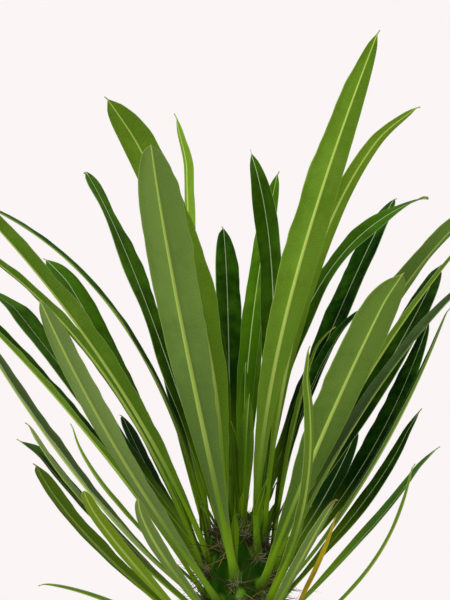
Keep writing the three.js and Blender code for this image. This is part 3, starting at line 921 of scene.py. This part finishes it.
# a spine or hair one long and one wide: a swollen root, then a slow taper to a sharp, bent point
def hornTemplate(sides, rings, curl):
    bm = bmesh.new()
    bmesh.ops.create_cone(bm, cap_ends=True, segments=sides, radius1=1, radius2=0.07, depth=1,
                          matrix=Matrix.Translation((0, 0, 0.5)))
    uprights = [edge for edge in bm.edges if abs(edge.verts[0].co.z - edge.verts[1].co.z) > 0.5]
    bmesh.ops.subdivide_edges(bm, edges=uprights, cuts=rings, use_grid_fill=True)
    look = bm.verts.layers.float_vector.new("hornLook")
    for vert in bm.verts:
        share = vert.co.z
        vert[look] = (share, 0, 0)
        swell = 1 + 0.55 * math.exp(-((share / 0.07) ** 2))
        vert.co.x = vert.co.x * swell + curl * share * share
        vert.co.y *= swell
    return meshFrom(bm, "horn template")


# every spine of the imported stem, by the same rule and draws, then more on the scars; the last value
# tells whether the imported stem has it
def spineRows():
    form = spineForm
    roll = dice(form["seed"])
    tree = treeOf([vert.co / mm for vert in frame["nodes"]["stem"].data.vertices])
    rows = []
    for swell in swells:
        turn = swell["turn"]
        height = swell["rise"] - stemForm["belowLeaf"] if swell["leafy"] else swell["rise"]
        outward = around(turn, 1, 0)
        sideways = around(turn + 90, 1, 0)
        root = around(turn, stemRadius(height) + (0 if swell["leafy"] else swell["stand"]), height)
        for across, rising in form["fan"]:
            start = root + sideways * form["spread"] * across + up * form["spread"] * rising
            direction = outward + sideways * (across + form["looseness"] * (next(roll) - 0.5))
            direction += up * (rising + form["looseness"] * (next(roll) - 0.5))
            direction.normalize()
            length = form["length"] * (0.8 + 0.4 * next(roll))
            apex = start + direction * length
            rows.append((start, direction, length, height, tree.find(apex)[2] < 0.5))
    return rows


def leafTree():
    bm = bmesh.new()
    for name, node in frame["nodes"].items():
        if name.startswith("leaf_"):
            bm.from_mesh(node.data)
    tree = bvhtree.BVHTree.FromBMesh(bm)
    bm.free()
    return tree


# whether a bent spine, set by a matrix, would cross a leaf
def meetsLeaf(blades, matrix, curl):
    spots = [matrix @ Vector((curl * share**2, 0, share)) for share in (0.15, 0.45, 0.75, 1.0)]
    for near, far in zip(spots, spots[1:]):
        way = far - near
        if blades.ray_cast(near * mm, way.normalized(), way.length * mm)[0] is not None:
            return True
    return False


def makeSpines(finish):
    form = spineForm
    fine = fineSpines
    rule = random.Random(form["lookSeed"])
    blades = leafTree()
    template = hornTemplate(form["sides"], form["rings"], form["curl"])
    curled = [hornTemplate(fine["sides"], fine["rings"], curl) for curl in fine["curls"]]
    bm = growing("hornLook")
    count = 0
    for start, direction, length, height, packed in spineRows():
        girth = form["radius"] * rule.uniform(*form["girths"])
        youth = 0.5 * smooth(form["youthZone"], height) + rule.uniform(-0.3, 0.3)
        matrix = aimed(start - direction * form["sink"], direction, girth, length + form["sink"],
                       anySpin(rule))
        if packed or not meetsLeaf(blades, matrix, form["curl"]):
            stamp(bm, template, matrix, "hornLook", {1: youth, 2: rule.random()})
            count += 1
    for swell in swells:
        if not swell["leafy"]:
            continue
        for _ in range(fine["count"]):
            height = swell["rise"] - rule.uniform(*fine["below"])
            turn = swell["turn"]
            start = onBark(turn + rule.uniform(-fine["aside"], fine["aside"]), height)
            heading = turn + rule.uniform(-fine["fan"], fine["fan"])
            direction = around(heading, 1, rule.uniform(*fine["rising"])).normalized()
            pick = rule.randrange(len(curled))
            matrix = aimed(start, direction, fine["radius"] * rule.uniform(*fine["girths"]),
                           rule.uniform(*fine["length"]), anySpin(rule))
            youth = 1 if rule.random() < fine["golden"] else 0
            if not meetsLeaf(blades, matrix, fine["curls"][pick]):
                stamp(bm, curled[pick], matrix, "hornLook", {1: youth, 2: rule.random()})
                count += 1
    bpy.data.batch_remove((template, *curled))
    addMesh("stem_spines", bm, finish, "bark", ["stem"])
    print("spines:", count)


hornColours = {
    "old": ((0.022, 0.012, 0.006), (0.10, 0.055, 0.028)),
    "young": ((0.17, 0.13, 0.015), (0.36, 0.30, 0.055)),
    "point": (0.035, 0.014, 0.006),
}


def spineFinish():
    tones = hornColours
    f = Finish("spine horn")
    _, share, youth, luck = f.marks("hornLook")
    streaks = f.cloud(f.place(), 900, 2)
    colour = f.coats(f.mix(*tones["old"], streaks * 0.5 + luck * 0.5),
                     (f.mix(*tones["young"], streaks), f.step(youth + (luck - 0.5) * 0.3, 0.45, 0.8)),
                     (tones["point"], f.step(share, 0.6, 1) * 0.7))
    return f.done(f.shader(colour, 0.45))


makeSpines(spineFinish())

woolForm = {
    "hairs": 48,
    "length": (2, 8),
    "radius": 0.15,
    "curls": (10, 26, 44),
    "spread": 3.0,
    "looseness": 0.8,
    "sink": 0.55,  # share of the swelling's height at which the hairs are rooted
    "above": 1.5,  # from the spines at a leaf's cushion up
    "sides": 3,
    "rings": 3,
    "colours": ((0.12, 0.08, 0.04), (0.56, 0.50, 0.35)),
    "ends": (0.50, 0.46, 0.36),
    "seed": 5,
}


# grey and brown wool at the root of each group of spines
def makeWool(finish):
    form = woolForm
    templates = [hornTemplate(form["sides"], form["rings"], curl) for curl in form["curls"]]
    rule = random.Random(form["seed"])
    bm = growing("hornLook")
    for swell in swells:
        turn = swell["turn"]
        height = swell["rise"]
        if swell["leafy"]:
            height += form["above"] - stemForm["belowLeaf"]
        outward = stemOutward(turn, height)
        middle = onBark(turn, height) + outward * swell["stand"] * form["sink"]
        for _ in range(form["hairs"]):
            aside = around(turn + 90, 1, 0) * rule.gauss(0, form["spread"] / 2)
            root = middle + aside + up * rule.gauss(0, form["spread"] / 2)
            direction = outward + Vector([rule.gauss(0, form["looseness"]) for _ in range(3)])
            length = blend(*form["length"], rule.random() ** 2)
            matrix = aimed(root, direction.normalized(), form["radius"], length, anySpin(rule))
            stamp(bm, rule.choice(templates), matrix, "hornLook", {1: 0, 2: rule.random()})
    bpy.data.batch_remove(templates)
    addMesh("stem_wool", bm, finish, "bark", ["stem"])


def woolFinish():
    f = Finish("spine wool")
    _, share, _, luck = f.marks("hornLook")
    colour = f.mix(*woolForm["colours"], f.step(luck, 0.2, 0.85))
    colour = f.mix(colour, woolForm["ends"], share * 0.3)
    return f.done(f.shader(colour, 0.85))


makeWool(woolFinish())
print("wool")


potForm = {
    "height": 150,
    "topRadius": 80,  # wall under the rim band, at the top
    "footRadius": 57,
    "wall": 6,
    "floor": 9,
    "rimHeight": 26,
    "rimProud": 4.5,
    "rimTaper": 0.8,
    "roundness": 1.5,
    "corner": 25,  # degrees from which an edge is rounded
    "sides": 128,
    "cuts": (0, 24, 0, 6, 0, 20),
    "unevenness": 0.16,
    "evenFoot": 2,  # height below which the pot stays true
}


def makePot(finish):
    form = potForm
    rim = form["topRadius"] + form["rimProud"]
    rimBottom = form["height"] - form["rimHeight"]
    underRim = blend(form["footRadius"], form["topRadius"], rimBottom / form["height"])
    outline = [(0, 0), (form["footRadius"], 0), (underRim, rimBottom), (rim - form["rimTaper"], rimBottom),
               (rim, form["height"]), (form["topRadius"] - form["wall"], form["height"]),
               (form["footRadius"] - form["wall"] + 1, form["floor"]), (0, form["floor"])]
    bm = lathe(outline, form["sides"], form["cuts"])
    bmesh.ops.recalc_face_normals(bm, faces=bm.faces[:])
    corners = [edge for edge in bm.edges if edge.calc_face_angle(0) > math.radians(form["corner"])]
    bmesh.ops.bevel(bm, geom=corners, offset=form["roundness"], segments=4, profile=0.5, affect="EDGES",
                    material=-1, clamp_overlap=True)
    for vert in bm.verts:
        if vert.co.z > form["evenFoot"]:
            outward = Vector((vert.co.x, vert.co.y, 0)).normalized()
            thrown = noise.noise(Vector((0, 0, vert.co.z * 0.35))) * 0.7 + noise.noise(vert.co * 0.03)
            vert.co += outward * form["unevenness"] * (thrown - 1)
    addPiece("pot_clay", bm, finish, "clay", ["pot"])


clayColours = {
    "fired": ((0.40, 0.150, 0.070), (0.56, 0.235, 0.115)),
    "line": (0.33, 0.115, 0.055),
    "chalk": (0.68, 0.48, 0.36),
    "damp": (0.24, 0.085, 0.045),
    "grit": (0.20, 0.075, 0.04),
}


def clayFinish():
    tones = clayColours
    f = Finish("terracotta")
    place = f.place()
    broad = f.cloud(place, 16, 4)
    middle = f.cloud(place, 70, 5, 0.6)
    grit = f.cloud(place, 900, 3, 0.7)
    lines = f.cloud(f.stretched(place, (0.06, 0.06, 1)), 520, 3)
    height = f.node("ShaderNodeSeparateXYZ", {}, {"Vector": place}).other("Z")

    bloom = f.step(broad * 0.55 + middle * 0.45 + f.step(height, 0.0, 0.03) * -0.12, 0.47, 0.66)
    damp = 1 - f.step(height + broad * 0.03, 0.012, 0.05)
    colour = f.coats(f.mix(*tones["fired"], f.step(middle * 0.5 + broad * 0.5, 0.36, 0.64)),
                     (tones["line"], f.step(lines, 0.55, 0.75) * 0.3),
                     (tones["chalk"], bloom * 0.42),
                     (tones["damp"], damp * 0.45),
                     (tones["grit"], f.step(grit, 0.64, 0.74) * 0.5))
    relief = grit * 0.35 + lines * 0.4 + middle * 0.25
    return f.done(f.shader(colour, 0.82 + grit * 0.12, f.bump(relief, 0.0006, 0.7)))


makePot(clayFinish())
print("pot")


soilForm = {
    "level": 134,
    "mound": 3.2,
    "rings": 46,
    "sides": 120,
    "lumps": 0.9,
    "gap": 0.3,  # from the pot
    "stemAt": 137,  # height at which the stem leaves the soil
    "moundAt": 140,  # height whose stem radius is where the mound begins to fall
    "hole": 0.6,  # how far the bed reaches into the stem, so that no gap shows
    "holeFloor": 100,
    "grains": 1500,
    "grainSize": (0.5, 2.1),
    "stemClear": 1,  # how far the grains keep from the stem and from the pot
    "rimClear": 1.5,
    "seed": 21,
}


def soilRim(height):
    form = potForm
    climb = (height - form["floor"]) / (form["height"] - form["floor"])
    inside = blend(form["footRadius"] - form["wall"] + 1, form["topRadius"] - form["wall"], climb)
    return inside - soilForm["gap"]


def soilTop(radius, turn):
    form = soilForm
    rim = soilRim(form["level"])
    mound = form["mound"] * (1 - smooth((stemRadius(form["moundAt"]), rim), radius))
    lump = form["lumps"] * (noise.fractal(around(turn, radius, 0) * 0.09, 0.8, 2.0, 4) - 0.35)
    return form["level"] + mound + lump * (1 - smooth((rim - 3, rim), radius))


def makeSoil(finish):
    form = soilForm
    inner = stemRadius(form["stemAt"]) - form["hole"]
    rim = soilRim(form["level"])
    bottom = potForm["floor"] + form["gap"]
    outline = [(0, bottom), (soilRim(bottom), bottom)]
    outline += [(blend(rim, inner, i / form["rings"]), form["level"]) for i in range(form["rings"] + 1)]
    outline += [(inner, form["holeFloor"]), (0, form["holeFloor"])]
    bm = lathe(outline, form["sides"])
    for vert in bm.verts:
        if abs(vert.co.z - form["level"]) < 0.01:
            radius = math.hypot(vert.co.x, vert.co.y)
            vert.co.z = soilTop(radius, math.degrees(math.atan2(vert.co.y, vert.co.x)))
    addPiece("soil_bed", bm, finish, "soil", ["soil"])


def grainTemplates():
    made = []
    for seed in range(5):
        bm = growing("grainLook")
        bmesh.ops.create_icosphere(bm, subdivisions=1, radius=1)
        for vert in bm.verts:
            vert.co *= 1 + 0.45 * noise.noise(vert.co * 1.3 + Vector((seed * 5, 0, 0)))
        made.append(meshFrom(bm, "grain template"))
    return made


def makeGrains(finish):
    form = soilForm
    rule = random.Random(form["seed"])
    templates = grainTemplates()
    rim = soilRim(form["level"])
    inner = stemRadius(form["stemAt"])
    bm = growing("grainLook")
    for _ in range(form["grains"]):
        radius = math.sqrt(rule.uniform((inner + form["stemClear"]) ** 2, (rim - form["rimClear"]) ** 2))
        turn = rule.uniform(0, 360)
        size = blend(*form["grainSize"], rule.random() ** 3)
        place = around(turn, radius, soilTop(radius, turn) + size * 0.15)
        turned = Matrix.Rotation(anySpin(rule), 4, Vector([rule.gauss(0, 1) for _ in range(3)]))
        shape = Matrix.Diagonal((size, size * rule.uniform(0.7, 1), size * rule.uniform(0.45, 0.9), 1))
        stamp(bm, rule.choice(templates), Matrix.Translation(place) @ turned @ shape, "grainLook",
              {0: rule.random(), 1: rule.random(), 2: size})
    bpy.data.batch_remove(templates)
    addMesh("soil_grains", bm, finish, "soil", ["soil"], flat=True)


soilColours = {
    "bed": ((0.020, 0.013, 0.008), (0.085, 0.055, 0.033)),
    "crumb": (0.16, 0.12, 0.08),
    "humus": ((0.022, 0.014, 0.009), (0.075, 0.045, 0.025)),
    "stone": ((0.12, 0.105, 0.085), (0.36, 0.32, 0.26)),
    "bark": ((0.10, 0.045, 0.02), (0.24, 0.13, 0.06)),
    "pumice": (0.72, 0.70, 0.65),
    "dust": (0.03, 0.02, 0.015),
}


def soilFinish():
    tones = soilColours
    f = Finish("potting soil")
    place = f.place()
    broad = f.cloud(place, 60, 4)
    fine = f.cloud(place, 700, 5, 0.7)
    crumbs = f.cells(place, 650)
    colour = f.mix(*tones["bed"], f.step(fine * 0.6 + broad * 0.4, 0.35, 0.66))
    colour = f.mix(colour, tones["crumb"], f.step(crumbs, 0.16, 0.05) * 0.4)
    return f.done(f.shader(colour, 0.95, f.bump(fine * 0.7 - crumbs * 0.6, 0.0015, 0.9)))


def grainFinish():
    tones = soilColours
    f = Finish("soil grains")
    _, kind, shade, _ = f.marks("grainLook")
    speck = f.cloud(f.place(), 1500, 3, 0.7)
    colour = f.coats(f.mix(*tones["humus"], shade),
                     (f.mix(*tones["stone"], shade), f.step(kind, 0.52, 0.53)),
                     (f.mix(*tones["bark"], shade), f.step(kind, 0.76, 0.77)),
                     (tones["pumice"], f.step(kind, 0.94, 0.95)),
                     (tones["dust"], f.step(speck, 0.5, 0.75) * 0.4))
    return f.done(f.shader(colour, 0.88, f.bump(speck, 0.0004, 0.6)))


makeSoil(soilFinish())
makeGrains(grainFinish())
print("soil")


studio = {
    "floorRadius": 2.1,
    "floorFade": (0.9, 2.05),
    "floorColours": ((0.87, 0.83, 0.83), (0.90, 0.86, 0.86)),
    "paper": (0.965, 0.913, 0.913),
    "skyColour": (1.0, 0.975, 0.965),
    "skyLight": 0.5,
    "lamps": (
        # place, what it points at, size and power
        ((-1.8, -1.2, 1.5), (0, 0, 0.48), 1.0, 44),
        ((1.6, -1.0, 1.1), (0, 0, 0.48), 1.2, 9),
        ((0.3, 0.8, 2.0), (0, 0, 0.45), 1.2, 12),
    ),
}

view = {
    "target": (-7.95, 0, 502),  # millimetres
    "distance": 1400,
    "elevation": 2,
    "pixel": 0.53,  # millimetres that one pixel covers at the stem
    "imageHeight": 600,
    "sensor": 36,
}


def floorFinish():
    f = Finish("studio floor")
    place = f.place()
    away = f.node("ShaderNodeVectorMath", {"operation": "LENGTH"}, {0: place}, output="Value")
    shader = f.shader(f.mix(*studio["floorColours"], f.cloud(place, 3, 2)), 0.7)
    clear = f.node("ShaderNodeBsdfTransparent")
    fade = f.step(away, *studio["floorFade"])
    return f.done(f.node("ShaderNodeMixShader", {}, {0: fade, 1: shader, 2: clear}))


def makeFloor():
    bm = bmesh.new()
    bmesh.ops.create_circle(bm, cap_ends=True, segments=96, radius=studio["floorRadius"])
    mesh = meshFrom(bm, "floor")
    mesh.materials.append(floorFinish())
    placed("floor", mesh)


def lightStudio():
    f = Finish("studio", "worlds")
    seen = f.node("ShaderNodeBackground", {}, {"Color": f.paint(studio["paper"])})
    shed = f.node("ShaderNodeBackground", {}, {"Color": f.paint(studio["skyColour"]),
                                               "Strength": studio["skyLight"]})
    toCamera = f.node("ShaderNodeLightPath", output="Is Camera Ray")
    mix = f.node("ShaderNodeMixShader", {}, {0: toCamera, 1: shed, 2: seen})
    bpy.context.scene.world = f.done(mix, "ShaderNodeOutputWorld")
    for place, aim, size, power in studio["lamps"]:
        lamp = bpy.data.lights.new("softbox", "AREA")
        lamp.shape = "DISK"
        lamp.size = size
        lamp.energy = power
        box = placed("softbox", lamp)
        box.location = place
        box.rotation_mode = "QUATERNION"
        box.rotation_quaternion = (Vector(aim) - Vector(place)).to_track_quat("-Z", "Y")


def placeCamera():
    tilt = math.radians(view["elevation"])
    camera = placed("camera", bpy.data.cameras.new("camera"))
    back = Vector((0, -math.cos(tilt), math.sin(tilt))) * view["distance"]
    camera.location = (Vector(view["target"]) + back) * mm
    camera.rotation_euler = (math.radians(90) - tilt, 0, 0)
    camera.data.sensor_width = view["sensor"]
    camera.data.lens = view["sensor"] * view["distance"] / (view["pixel"] * view["imageHeight"])
    camera.data.clip_start = 0.05
    bpy.context.scene.camera = camera


makeFloor()
lightStudio()
placeCamera()
bpy.context.scene.view_settings.view_transform = "Standard"
print("studio")
